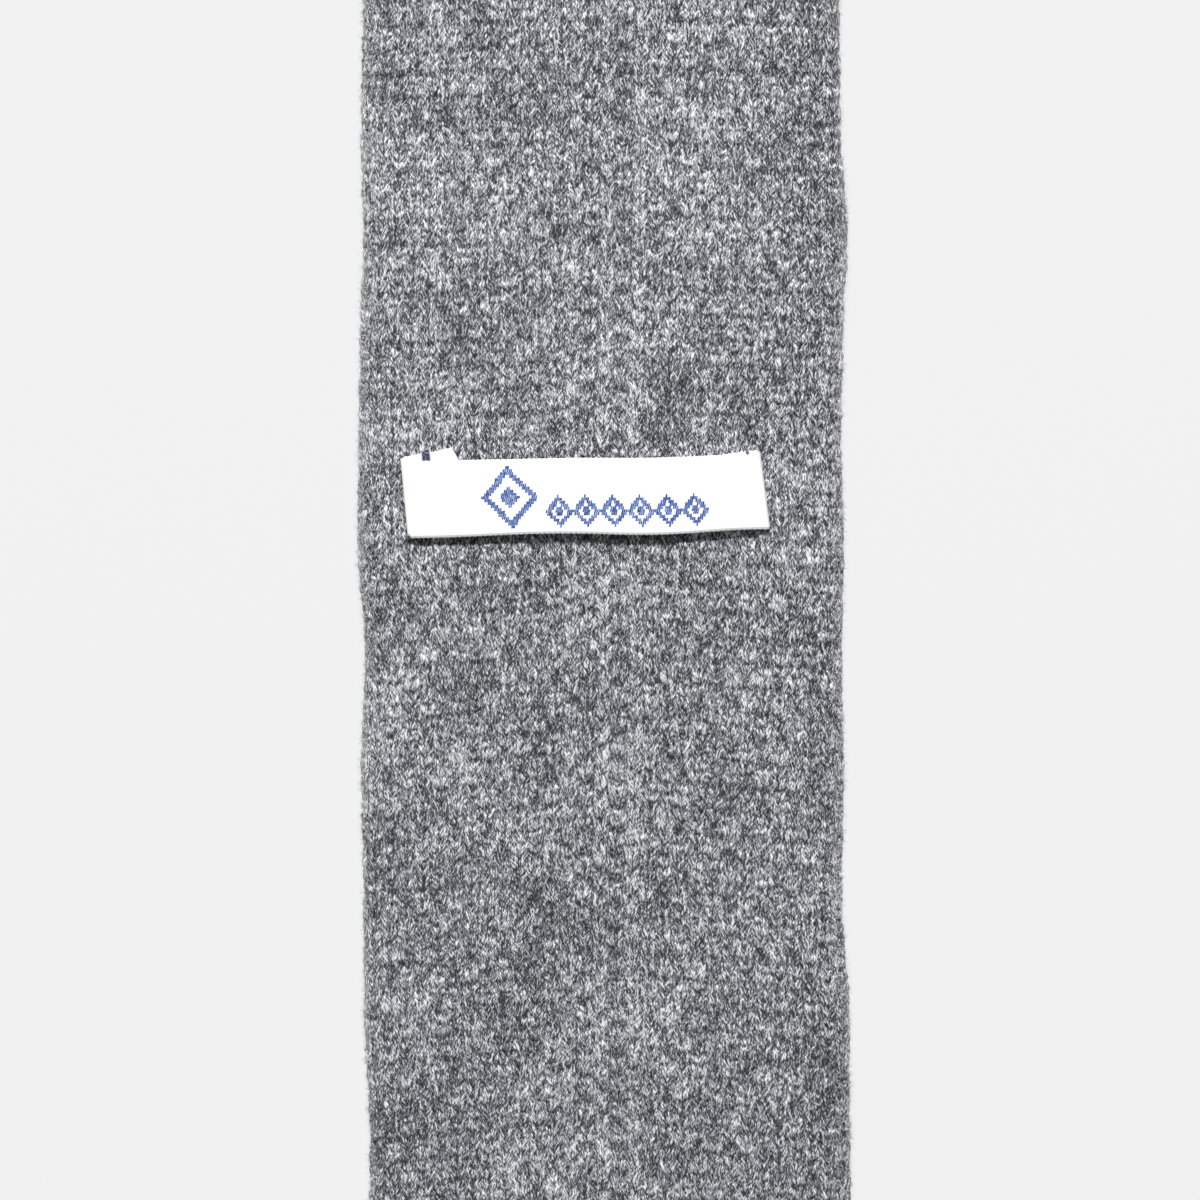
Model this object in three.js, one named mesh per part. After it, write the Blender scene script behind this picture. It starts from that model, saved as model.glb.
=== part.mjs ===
// A square-ended cashmere tie, knitted as one long flat tube whose edges meet in a join down the
// middle of its back. It lies straight on its front, back upwards, with a ribbon keeper across the
// back of the wide blade. Millimetres: X across the tie, Y from the blade's tip to the tail's end,
// Z up. The origin is under the middle of the whole tie.

import * as THREE from 'three';

// Lengths of the stretches, from the blade's tip to the tail's end
const bladeLength = 560;
const taperLength = 100;
const neckLength = 430;
const flareLength = 60;
const tailLength = 300;

// Widths of the flattened tube
const bladeWidth = 75;
const neckWidth = 38;
const tailWidth = 52;

// The knitted fabric
const knitWall = 2.1;
const hollowHeight = 0.7;
const stitchWidth = 2.58;
const courseHeight = 1.88;

// The join down the back: ribs and furrows one stitch wide, and how far they stand out and sink
const joinRelief = 0.25;

// The blade's tip is closed by a linked row, which rounds its edge
const linkedEnd = 2 * courseHeight;
const tipRounding = 1.6;

// How far the tie's edges wander sideways, and where that was seen: its start above the blade's tip
// and its length. Past it the edges come back to straight within the ease.
const sway = 1.55;
const swayStart = 146;
const swayLength = 186;
const swayEase = 90;

// The ribbon keeper, folded under at both ends and sewn down there
const keeperAbove = 255;
const keeperAside = -2.5;
const keeperLength = 56;
const keeperWidth = 11.8;
const ribbonWall = 1;
const foldSlot = 0.3;
const flapLength = 7.8;
const keeperTurn = THREE.MathUtils.degToRad(1.1);
const keeperLean = Math.tan(THREE.MathUtils.degToRad(4));
const keeperBow = 0.5;
const flapPeek = 1.8;

// Clearance between the keeper and the knit, and how finely the surfaces are cut
const clearance = 0.3;
const swayStep = 9.3;
const plainStep = 18;
const foldSteps = 4;
const tipSteps = 3;
const keeperSteps = 8;

const tieLength = bladeLength + taperLength + neckLength + flareLength + tailLength;
const tieHeight = 2 * knitWall + hollowHeight;

// One row per stretch: its length, and its width at its start and at its end
const stretches = [
  { name: 'blade', length: bladeLength, from: bladeWidth, to: bladeWidth },
  { name: 'taper', length: taperLength, from: bladeWidth, to: neckWidth },
  { name: 'neck', length: neckLength, from: neckWidth, to: neckWidth },
  { name: 'flare', length: flareLength, from: neckWidth, to: tailWidth },
  { name: 'tail', length: tailLength, from: tailWidth, to: tailWidth },
];

// Where the edges lie, one row per place: how far along the swaying stretch, as a share of its
// length, and how far the left and the right edge stand to the right, as shares of the sway
const edgeRows = [
  { along: 0.00, left: 1.0, right: 0.8 },
  { along: 0.05, left: 1.0, right: 0.8 },
  { along: 0.15, left: 0.5, right: 0.7 },
  { along: 0.25, left: 0.4, right: 0.0 },
  { along: 0.35, left: 0.2, right: 0.1 },
  { along: 0.45, left: 0.6, right: -0.1 },
  { along: 0.55, left: -0.2, right: 0.1 },
  { along: 0.63, left: -0.1, right: -0.2 },
  { along: 0.73, left: 0.0, right: 0.1 },
  { along: 0.80, left: 0.4, right: 0.5 },
  { along: 0.90, left: 0.2, right: -0.2 },
  { along: 1.00, left: 0.3, right: -0.3 },
];

// How far each flap slips up the tie from under the strap, at its fold and at its raw end, as shares
// of the flap's peek
const flapSlips = {
  left: { fold: 0.5, end: 1.0 },
  right: { fold: 0.35, end: 0.1 },
};

function smooth(share) {
  return THREE.MathUtils.smoothstep(share, 0, 1);
}

// The flattened tube's width at a distance y from the blade's tip
function widthAt(y) {
  let start = 0;
  for (const stretch of stretches) {
    const end = start + stretch.length;
    if (y <= end) {
      return THREE.MathUtils.lerp(stretch.from, stretch.to, smooth((y - start) / stretch.length));
    }
    start = end;
  }
  return tailWidth;
}

// How far one edge, 'left' or 'right', stands to the right of straight at y
function swayAt(y, edge) {
  const along = (y - swayStart) / swayLength;
  const first = edgeRows[0];
  const last = edgeRows[edgeRows.length - 1];
  if (along <= 0) {
    return sway * first[edge] * smooth(1 - (swayStart - y) / swayEase);
  }
  if (along >= 1) {
    return sway * last[edge] * smooth(1 - (y - swayStart - swayLength) / swayEase);
  }
  const next = edgeRows.findIndex((row) => row.along > along);
  const low = edgeRows[next - 1];
  const high = edgeRows[next];
  const share = (along - low.along) / (high.along - low.along);
  return sway * THREE.MathUtils.lerp(low[edge], high[edge], smooth(share));
}

// The left and right ends of the flattened tube at y
function edgesAt(y) {
  const half = widthAt(y) / 2;
  return { left: swayAt(y, 'left') - half, right: swayAt(y, 'right') + half };
}

// A closed surface through rings of equally many points, with a fan over the first and last ring
function loft(rings) {
  const count = rings[0].length;
  const faces = [];
  for (let r = 0; r + 1 < rings.length; r += 1) {
    for (let i = 0; i < count; i += 1) {
      const j = (i + 1) % count;
      const a = r * count + i;
      const b = r * count + j;
      faces.push(a, b, b + count, a, b + count, a + count);
    }
  }
  const lastRing = (rings.length - 1) * count;
  for (let i = 1; i + 1 < count; i += 1) {
    faces.push(0, i + 1, i, lastRing, lastRing + i, lastRing + i + 1);
  }
  const geometry = new THREE.BufferGeometry();
  geometry.setFromPoints(rings.flat());
  geometry.setIndex(faces);
  geometry.computeVertexNormals();
  return geometry;
}

// One ring around the tube at y, a flat loop with half-round sides, run from the right-hand fold over
// the top to the left-hand one. The inset is how far it lies inside the knit's outer skin, shrink is
// how far the tip's rounding draws it in, and relief is the height of the join's ribs.
function tubeRing(y, inset, shrink, relief) {
  const edges = edgesAt(y);
  const middle = (edges.left + edges.right) / 2;
  const radius = tieHeight / 2 - inset - shrink;
  const right = edges.right - inset - shrink - radius;
  const left = edges.left + inset + shrink + radius;
  const points = [];
  for (let i = foldSteps / 2; i <= foldSteps; i += 1) {
    points.push(foldPoint(right, y, radius, -Math.PI / 2 + (Math.PI * i) / foldSteps));
  }
  for (let stitch = 3; stitch >= -3; stitch -= 1) {
    const rib = Math.abs(stitch) === 3 ? 0 : relief * (stitch % 2 === 0 ? 1 : -1);
    points.push(new THREE.Vector3(middle + stitch * stitchWidth, y, tieHeight / 2 + radius + rib));
  }
  for (let i = 0; i <= foldSteps; i += 1) {
    points.push(foldPoint(left, y, radius, Math.PI / 2 + (Math.PI * i) / foldSteps));
  }
  for (let i = 0; i < foldSteps / 2; i += 1) {
    points.push(foldPoint(right, y, radius, -Math.PI / 2 + (Math.PI * i) / foldSteps));
  }
  return points;
}

function foldPoint(x, y, radius, angle) {
  return new THREE.Vector3(x + radius * Math.cos(angle), y, tieHeight / 2 + radius * Math.sin(angle));
}

// Distances along the tie from start to end, closer together where the edges sway
function stationsBetween(start, end, nearStep) {
  const stations = [start];
  let y = start;
  while (y < end) {
    const swaying = y >= swayStart - nearStep && y < swayStart + swayLength;
    y += swaying ? nearStep : plainStep;
    if (y < end - nearStep / 2) {
      stations.push(y);
    }
  }
  stations.push(end);
  return stations;
}

// The knitted tube: the hollow's wall from the linked tip out to the tail's open end, then the outer
// skin from there back to the rounded tip
function knitTube() {
  const hollow = stationsBetween(linkedEnd, tieLength, plainStep);
  const skin = stationsBetween(tipRounding, tieLength, swayStep).reverse();
  const rings = hollow.map((y) => tubeRing(y, knitWall, 0, 0));
  rings.push(...skin.map((y) => tubeRing(y, 0, 0, joinRelief)));
  for (let i = tipSteps - 1; i >= 0; i -= 1) {
    const angle = (Math.PI / 2) * (i / tipSteps);
    const depth = tipRounding * (1 - Math.cos(angle));
    const shrink = tipRounding * (1 - Math.sin(angle));
    rings.push(tubeRing(depth, 0, shrink, (joinRelief * i) / tipSteps));
  }
  return loft(rings);
}

// One end of the ribbon: its flap from the raw end, and the half-round fold up to the strap. Each
// place has x, z, the direction that the ribbon's outer face turns to, and how far it slips up.
function ribbonEnd(slips) {
  const foldRadius = (ribbonWall + foldSlot) / 2;
  const half = keeperLength / 2 - foldRadius - ribbonWall / 2;
  const flapHeight = tieHeight + joinRelief + clearance + ribbonWall / 2;
  const foldSlip = flapPeek * slips.fold;
  const down = -Math.PI / 2;
  const places = [{ x: half - flapLength, z: flapHeight, turn: down, slip: flapPeek * slips.end }];
  for (let i = 0; i <= foldSteps; i += 1) {
    const share = i / foldSteps;
    const turn = down + Math.PI * share;
    const x = half + foldRadius * Math.cos(turn);
    const z = flapHeight + foldRadius * (1 + Math.sin(turn));
    places.push({ x, z, turn, slip: foldSlip * (1 - share) });
  }
  return places;
}

// The ribbon's middle line seen from the tip, from the right flap's raw end over the slightly bowed
// strap to the left flap's raw end
function ribbonPath() {
  const rightEnd = ribbonEnd(flapSlips.right);
  const leftEnd = ribbonEnd(flapSlips.left).map((place) => ({
    ...place,
    x: -place.x,
    turn: Math.PI - place.turn,
  }));
  const { x: half, z: strapHeight } = rightEnd[rightEnd.length - 1];
  const strap = [];
  for (let i = 1; i < keeperSteps; i += 1) {
    const share = i / keeperSteps;
    const z = strapHeight + keeperBow * Math.sin(Math.PI * share);
    strap.push({ x: half * (1 - 2 * share), z, turn: Math.PI / 2, slip: 0 });
  }
  return [...rightEnd, ...strap, ...leftEnd.reverse()];
}

// One point of the ribbon, up its width by y and out from its middle line by a half wall or in
function ribbonPoint(place, y, out) {
  const x = place.x + out * Math.cos(place.turn) - keeperLean * y;
  return new THREE.Vector3(x, y, place.z + out * Math.sin(place.turn));
}

// The ribbon keeper: a strip of even width and wall along its path
function ribbonKeeper() {
  const rings = ribbonPath().map((place) => {
    const low = place.slip - keeperWidth / 2;
    const high = place.slip + keeperWidth / 2;
    return [
      ribbonPoint(place, high, ribbonWall / 2),
      ribbonPoint(place, high, -ribbonWall / 2),
      ribbonPoint(place, low, -ribbonWall / 2),
      ribbonPoint(place, low, ribbonWall / 2),
    ];
  });
  return loft(rings);
}

const knit = new THREE.MeshStandardMaterial({ color: 0x86878b, roughness: 0.95, metalness: 0 });
const ribbon = new THREE.MeshStandardMaterial({ color: 0xf4f5f3, roughness: 0.7, metalness: 0 });

const tube = new THREE.Mesh(knitTube(), knit);
tube.name = 'knit_tube';

const keeper = new THREE.Mesh(ribbonKeeper(), ribbon);
keeper.name = 'ribbon_keeper';
keeper.position.set(keeperAside, keeperAbove, 0);
keeper.rotation.z = keeperTurn;

// The whole tie, moved so that the origin is under its middle
const tie = new THREE.Group();
tie.add(tube, keeper);
tube.geometry.computeBoundingBox();
const middle = tube.geometry.boundingBox.getCenter(new THREE.Vector3());
tie.position.set(-middle.x, -middle.y, 0);
tie.updateMatrixWorld(true);

export default tie;
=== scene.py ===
import math

import bpy
import numpy as np
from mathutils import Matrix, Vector


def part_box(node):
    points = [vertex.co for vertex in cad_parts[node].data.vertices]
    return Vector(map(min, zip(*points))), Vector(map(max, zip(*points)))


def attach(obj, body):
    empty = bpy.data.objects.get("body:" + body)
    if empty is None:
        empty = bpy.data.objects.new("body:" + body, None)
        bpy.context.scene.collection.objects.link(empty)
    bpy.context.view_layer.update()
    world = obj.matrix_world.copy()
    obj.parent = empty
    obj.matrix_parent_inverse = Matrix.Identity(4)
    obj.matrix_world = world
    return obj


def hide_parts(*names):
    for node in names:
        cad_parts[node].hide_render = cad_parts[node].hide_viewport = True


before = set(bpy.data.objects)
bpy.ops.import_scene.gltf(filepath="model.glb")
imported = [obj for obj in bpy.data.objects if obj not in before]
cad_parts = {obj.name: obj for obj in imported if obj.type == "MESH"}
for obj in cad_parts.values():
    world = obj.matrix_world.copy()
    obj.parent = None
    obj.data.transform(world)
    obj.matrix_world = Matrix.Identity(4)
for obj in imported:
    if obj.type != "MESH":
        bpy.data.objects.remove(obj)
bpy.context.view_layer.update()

# A knitted cashmere tie lying on its front, back upwards. Metres, in the frame's own axes: X across
# the tie, Y from the blade's tip to the tail's end, Z up. Places along the tie are counted from the
# tip.
MM = 0.001

# The tube's stretches from the tip to the tail's end
STRETCHES = [
    {"length": 560 * MM, "start_width": 75 * MM, "end_width": 75 * MM},
    {"length": 100 * MM, "start_width": 75 * MM, "end_width": 38 * MM},
    {"length": 430 * MM, "start_width": 38 * MM, "end_width": 38 * MM},
    {"length": 60 * MM, "start_width": 38 * MM, "end_width": 52 * MM},
    {"length": 300 * MM, "start_width": 52 * MM, "end_width": 52 * MM},
]
TIE_LENGTH = sum(stretch["length"] for stretch in STRETCHES)
TIE_HEIGHT = 4.9 * MM
FOLD_FULLNESS = 0.32 * MM
FOLD_RADIUS = TIE_HEIGHT / 2
KNIT_WALL = 2.1 * MM

# How far the left and right edges stand to the right of straight, as shares of the sway, at shares
# of the stretch that the camera sees
SWAY = 1.55 * MM
SWAY_START = 146 * MM
SWAY_LENGTH = 186 * MM
SWAY_EASE = 90 * MM
SWAY_PLACES = [0.00, 0.05, 0.15, 0.25, 0.35, 0.45, 0.55, 0.63, 0.73, 0.80, 0.90, 1.00]
LEFT_SWAY = [1.0, 1.0, 0.5, 0.4, 0.2, 0.6, -0.2, -0.1, 0.0, 0.4, 0.2, 0.3]
RIGHT_SWAY = [0.8, 0.8, 0.7, 0.0, 0.1, -0.1, 0.1, -0.2, 0.1, 0.5, -0.2, -0.3]
# The same for the join, from halfway between the edges
JOIN_SWAY = [-0.8, -0.8, -0.6, -0.4, -0.1, 0.1, 0.2, 0.3, 0.4, 0.2, 0.7, 1.0]

# The knit. Columns are counted round the tube from the join down the back (0) to the middle of the
# front, and stitches up from the tip. Columns run out at the join where the tube narrows.
FRONT_COLUMN = 31
FOLD_COLUMN = FRONT_COLUMN / 2
COLUMN_WIDTH = (75 * MM - 2 * FOLD_RADIUS + math.pi * FOLD_RADIUS) / FRONT_COLUMN
STITCHES_ALONG = 382
STITCH_HEIGHT = TIE_LENGTH / STITCHES_ALONG
JOIN_HALF = 2.5
RELIEF = 0.42 * MM
# A shallow furrow up each column's middle, as a share of the relief
FURROW = 0.05
# Painted light at the folds, where short fibres glow against the bright table: how much lighter their
# colour is than the back
RIM_LIGHT = 0.35
UNEVENNESS = 0.12 * MM

# The rows arch up to the join: how many stitches they fall for each column away from it, low on the
# blade and further up
ARCH_LOW = 0.06
ARCH_HIGH = 0.025
ARCH_START = 45
ARCH_END = 80

# The yarn shows as mounds in pairs, one on each side of a column's middle, over a lower bed with
# gaps in it. Places and sizes are in millimetres from the knot's heart, leans in degrees from
# upright, and heights and depths are shares of the relief. A plain column's knot takes two stitches,
# and its neighbours stand one stitch higher. In the join, ribs and rings of one stitch each stand
# side by side.
KNOTS = {
    "plain": {
        "stitches": 2,
        "mounds": [
            {"aside": 0.66, "up": 0.00, "half_wide": 0.76, "half_long": 1.06, "lean": 18, "high": 1.00},
            {"aside": 0.42, "up": 1.58, "half_wide": 0.64, "half_long": 0.62, "lean": 0, "high": 0.90},
            {"aside": 0.60, "up": -1.85, "half_wide": 0.45, "half_long": 1.40, "lean": 20, "high": 0.80},
            {"aside": 0.68, "up": -3.45, "half_wide": 0.36, "half_long": 1.25, "lean": 24, "high": 0.62},
            {"aside": 1.00, "up": 1.00, "half_wide": 0.34, "half_long": 0.95, "lean": -16, "high": 0.66},
        ],
        "gaps": [
            {"aside": 0.00, "up": -1.40, "half_wide": 0.85, "half_long": 0.75, "deep": 0.24},
            {"aside": 0.00, "up": -3.35, "half_wide": 0.65, "half_long": 0.95, "deep": 0.40},
            {"aside": 0.00, "up": -4.85, "half_wide": 1.10, "half_long": 0.60, "deep": 0.10},
            {"aside": 1.25, "up": -1.25, "half_wide": 0.40, "half_long": 0.90, "deep": 0.14},
        ],
    },
    "rib": {
        "stitches": 1,
        "mounds": [
            {"aside": 0.46, "up": -1.90, "half_wide": 0.66, "half_long": 2.35, "lean": 8, "high": 0.95},
        ],
        "gaps": [
            {"aside": 0.00, "up": 0.10, "half_wide": 0.42, "half_long": 0.70, "deep": 0.50},
        ],
    },
    "ring": {
        "stitches": 1,
        "mounds": [
            {"aside": 0.68, "up": 0.00, "half_wide": 0.62, "half_long": 0.88, "lean": 14, "high": 1.00},
            {"aside": 0.52, "up": 1.12, "half_wide": 0.58, "half_long": 0.58, "lean": 0, "high": 0.88},
        ],
        "gaps": [
            {"aside": 0.60, "up": -1.70, "half_wide": 1.00, "half_long": 0.75, "deep": 0.30},
        ],
    },
}
BED = 0.30
KNOT_OF_COLUMN = ["rib", "ring", "rib", "plain"]
# A mound's blunt ends and domed top, as powers, and how high over the bed the yarn is whole and
# takes only a share of a gap's depth
MOUND_BLUNTNESS = 2.4
MOUND_DOME = 0.6
YARN_ABOVE_BED = 0.2
GAP_IN_YARN = 0.5
# How far the mounds and knots differ by chance
MOUND_ASIDE = 0.13
MOUND_UP = 0.22
MOUND_LEAN = 14
MOUND_HIGH = 0.30
KNOT_UP = 0.28

# The tip is closed by a linked row, which rounds its edge
TIP_FIRST = -0.25
TIP_ROUND = 0.75
TIP_CREST = 0.6
TIP_TUCK = 0.5
TAIL_ROUND = 0.5
TAIL_ROUNDING = 0.7 * MM

# The lengths that the tube is cut into, in stitches, and how finely each is shaped
PHOTO_START = 37
PHOTO_END = 89
PHOTO_PIECES = 3
FAR_PIECES = 8
FRONT_STEPS = 2
COARSE_STEPS = 4
FINE_STEPS = 8
COARSE_ROWS = 4
FINE_ROWS = 12
HOLLOW_ROWS = 5

# The knit's map for baking, in shares of its sides: the skin fills most of it, and the hollow's wall
# and the rims at its ends lie in a strip beside the skin
BAKE_SKIN = {"left": 0.004, "wide": 0.9, "low": 0.003, "tall": 0.994}
BAKE_STRIP = {"left": 0.92, "wide": 0.07, "low": 0.05, "tall": 0.9}
BAKE_RIMS = (0.015, 0.985)

# The ribbon keeper, folded under at both ends. It dips a little right of its middle and lifts towards
# its right end, and its strap waves along the lower edge. The flaps slip up by shares of their peek at
# the fold and at the raw end, and each has a dark stripe.
KEEPER_ABOVE = 255 * MM
KEEPER_ASIDE = -2.5 * MM
KEEPER_LENGTH = 56 * MM
KEEPER_WIDTH = 11.8 * MM
KEEPER_TURN = math.radians(1.1)
KEEPER_LEANS = {"left": math.tan(math.radians(4.2)), "right": math.tan(math.radians(6.4))}
KEEPER_BOW = 0.55 * MM
KEEPER_DIP = 0.20 * MM
KEEPER_DIP_PLACE = 11 * MM
KEEPER_DIP_REACH = 13 * MM
KEEPER_LIFT = 0.05 * MM
KEEPER_LIFT_START = 17 * MM
KEEPER_WAVE = 0.15 * MM
KEEPER_WAVE_LENGTH = 33 * MM
KEEPER_WAVE_PLACE = 9 * MM
RIBBON_WALL = 0.42 * MM
RIBBON_SLOT = 0.25 * MM
FLAP_LENGTH = 8.5 * MM
FLAP_PEEK = 2.0 * MM
FLAP_SLIPS = {"left": {"fold": 0.35, "end": 1.0}, "right": {"fold": 0.32, "end": -0.1}}
FLAP_SLANT = math.tan(math.radians(24))
NAVY_STRIPES = {"left": [2.8 * MM, 4.1 * MM], "right": [1.1 * MM, 1.8 * MM]}
NAVY_LOOP = 0.45 * MM
RIBBON_STATIONS = {"flap": 32, "fold": 8, "strap": 240}
RIBBON_LINES = 14
SELVEDGE_WIDTH = 0.12 * MM
LOWER_ROLL = 0.55 * MM
LOWER_DROP = 0.25 * MM
SELVEDGE_PITCH = 0.8 * MM
SELVEDGE_DEPTH = 0.055 * MM
RIB_PITCH = 0.28 * MM

# The camera's field: what the photograph's side spans at the top of the tie
PHOTO_SPAN = 186.05 * MM
PHOTO_MIDDLE = 238.9 * MM
PHOTO_ASIDE = -0.16 * MM
CAMERA_LENS = 100.0
SENSOR = 36.0

# The light, and the pale table
SKY_STRENGTH = 0.26
LAMP_POWER = 24.5
LAMP_SIZE = 0.16
LAMP_PLACE = (-0.05, 0.95, 1.0)
TABLE_SIZE = 3.0
TABLE_GLOW = 0.84
TABLE_SHADE = 0.035

SEED_KNIT = 11
SEED_NAP = 23
SEED_FLOATS = 31


def smooth(share):
    share = np.clip(share, 0.0, 1.0)
    return share * share * (3.0 - 2.0 * share)


def width_at(along):
    """The flattened tube's width at distances from the tip."""
    width = np.full_like(along, STRETCHES[0]["start_width"])
    start = 0.0
    for stretch in STRETCHES:
        change = stretch["end_width"] - stretch["start_width"]
        width = width + change * smooth((along - start) / stretch["length"])
        start += stretch["length"]
    return width


def sway_at(along, shares):
    """How far an edge stands to the right of straight at distances from the tip."""
    places = np.array(SWAY_PLACES)
    shares = np.array(shares)
    share = (along - SWAY_START) / SWAY_LENGTH
    row = np.clip(np.searchsorted(places, share, side="right") - 1, 0, len(places) - 2)
    between = smooth((share - places[row]) / (places[row + 1] - places[row]))
    inside = shares[row] + (shares[row + 1] - shares[row]) * between
    before = shares[0] * smooth(1.0 - (SWAY_START - along) / SWAY_EASE)
    after = shares[-1] * smooth(1.0 - (along - SWAY_START - SWAY_LENGTH) / SWAY_EASE)
    return SWAY * np.where(share <= 0.0, before, np.where(share >= 1.0, after, inside))


def edges_at(along):
    half = width_at(along) / 2
    return sway_at(along, LEFT_SWAY) - half, sway_at(along, RIGHT_SWAY) + half


# Where the tie lies in the frame
tube_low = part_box("knit_tube")[0]
TIP_Y = tube_low[1]
STRAIGHT_X = tube_low[0] - float(edges_at(np.linspace(0.0, TIE_LENGTH, 3001))[0].min())


def make_camera():
    """Looks straight down at the stretch of the blade that the photograph shows."""
    data = bpy.data.cameras.new("camera")
    data.lens = CAMERA_LENS
    data.sensor_width = SENSOR
    data.clip_start = 0.01
    camera = bpy.data.objects.new("camera", data)
    height = TIE_HEIGHT + PHOTO_SPAN * CAMERA_LENS / SENSOR
    camera.location = (STRAIGHT_X + PHOTO_ASIDE, TIP_Y + PHOTO_MIDDLE, height)
    bpy.context.scene.collection.objects.link(camera)
    bpy.context.scene.camera = camera


class Nodes:
    """A short way to write a material's node tree."""

    def __init__(self, name):
        self.material = bpy.data.materials.new(name)
        self.material.use_nodes = True
        self.tree = self.material.node_tree
        self.shader = self.tree.nodes["Principled BSDF"]

    def node(self, kind, **settings):
        made = self.tree.nodes.new(kind)
        for name, value in settings.items():
            setattr(made, name, value)
        return made

    def feed(self, socket, value):
        if isinstance(value, bpy.types.NodeSocket):
            self.tree.links.new(value, socket)
        elif value is not None:
            socket.default_value = value

    def surface(self, name, value):
        self.feed(self.shader.inputs[name], value)

    def math(self, operation, first, second=None):
        made = self.node("ShaderNodeMath", operation=operation)
        self.feed(made.inputs[0], first)
        self.feed(made.inputs[1], second)
        return made.outputs[0]

    def total(self, *values):
        """The sum of values, or of pairs of a value and its weight."""
        result = None
        for value in values:
            if isinstance(value, tuple):
                value = self.math("MULTIPLY", *value)
            result = value if result is None else self.math("ADD", result, value)
        return result

    def centred(self, value):
        return self.math("SUBTRACT", value, 0.5)

    def join(self, x, y, z=0.0):
        made = self.node("ShaderNodeCombineXYZ")
        for socket, value in zip(made.inputs, (x, y, z), strict=True):
            self.feed(socket, value)
        return made.outputs[0]

    def noise(self, vector, scale=1.0, detail=2.0, roughness=0.5):
        made = self.node("ShaderNodeTexNoise")
        self.feed(made.inputs["Vector"], vector)
        self.feed(made.inputs["Scale"], scale)
        self.feed(made.inputs["Detail"], detail)
        self.feed(made.inputs["Roughness"], roughness)
        return made.outputs["Fac"]

    def ramp(self, value, stops):
        made = self.node("ShaderNodeValToRGB")
        elements = made.color_ramp.elements
        while len(elements) < len(stops):
            elements.new(0.5)
        for element, (place, colour) in zip(elements, stops, strict=True):
            element.position = place
            element.color = (*colour, 1.0)
        self.feed(made.inputs[0], value)
        return made.outputs[0]

    def bump(self, height, distance, strength=1.0):
        made = self.node("ShaderNodeBump")
        self.feed(made.inputs["Strength"], strength)
        self.feed(made.inputs["Distance"], distance)
        self.feed(made.inputs["Height"], height)
        return made.outputs[0]

    def map(self, name):
        """The two places of a named UV map."""
        made = self.node("ShaderNodeSeparateXYZ")
        self.feed(made.inputs[0], self.node("ShaderNodeUVMap", uv_map=name).outputs[0])
        return made.outputs[0], made.outputs[1]

    def attribute(self, name):
        return self.node("ShaderNodeAttribute", attribute_name=name).outputs["Fac"]


# Grey melange, from its darkest to its lightest fibres
FIBRE_STOPS = [
    (0.00, (0.018, 0.019, 0.023)),
    (0.28, (0.070, 0.072, 0.083)),
    (0.50, (0.190, 0.195, 0.215)),
    (0.70, (0.400, 0.410, 0.440)),
    (1.00, (0.900, 0.906, 0.930)),
]
FIBRE_SHADE = 0.24
# How much the crest attribute paints shade into the knit's gaps
CREST_PAINTED_SHADE = 0.42
FIBRE_BUMP = 0.06 * MM
# How far up from a knot's heart the next mound of yarn starts, in half stitches
MOUND_PHASE = -0.65

# Strokes of light and dark fibre: their lean, their width and length in millimetres, and how much
# they tell in the shade. The first start afresh on each mound, the others run on up the column.
FIBRE_LEAN = math.tan(math.radians(20))
STROKES = [
    {"lean": FIBRE_LEAN, "wide": 0.19, "long": 1.1, "weight": 1.9},
    {"lean": FIBRE_LEAN * 2.0, "wide": 0.16, "long": 0.8, "weight": 1.9},
    {"lean": -FIBRE_LEAN * 1.4, "wide": 0.16, "long": 0.8, "weight": 1.65},
    {"lean": 0.0, "wide": 0.16, "long": 1.1, "weight": 1.65},
]
# How far into the noise a mound's own strokes may start, and how far apart the kinds of strokes lie
STROKE_RANGE = 90.0
STROKE_APART = 120.0
# Softer light and dark patches over many stitches, by how many there are to a millimetre
PATCHES = [
    {"scale": 0.85, "detail": 1.0, "weight": 0.30},
    {"scale": 0.16, "detail": 2.0, "weight": 0.45},
    {"scale": 0.045, "detail": 2.0, "weight": 0.40},
]


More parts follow.
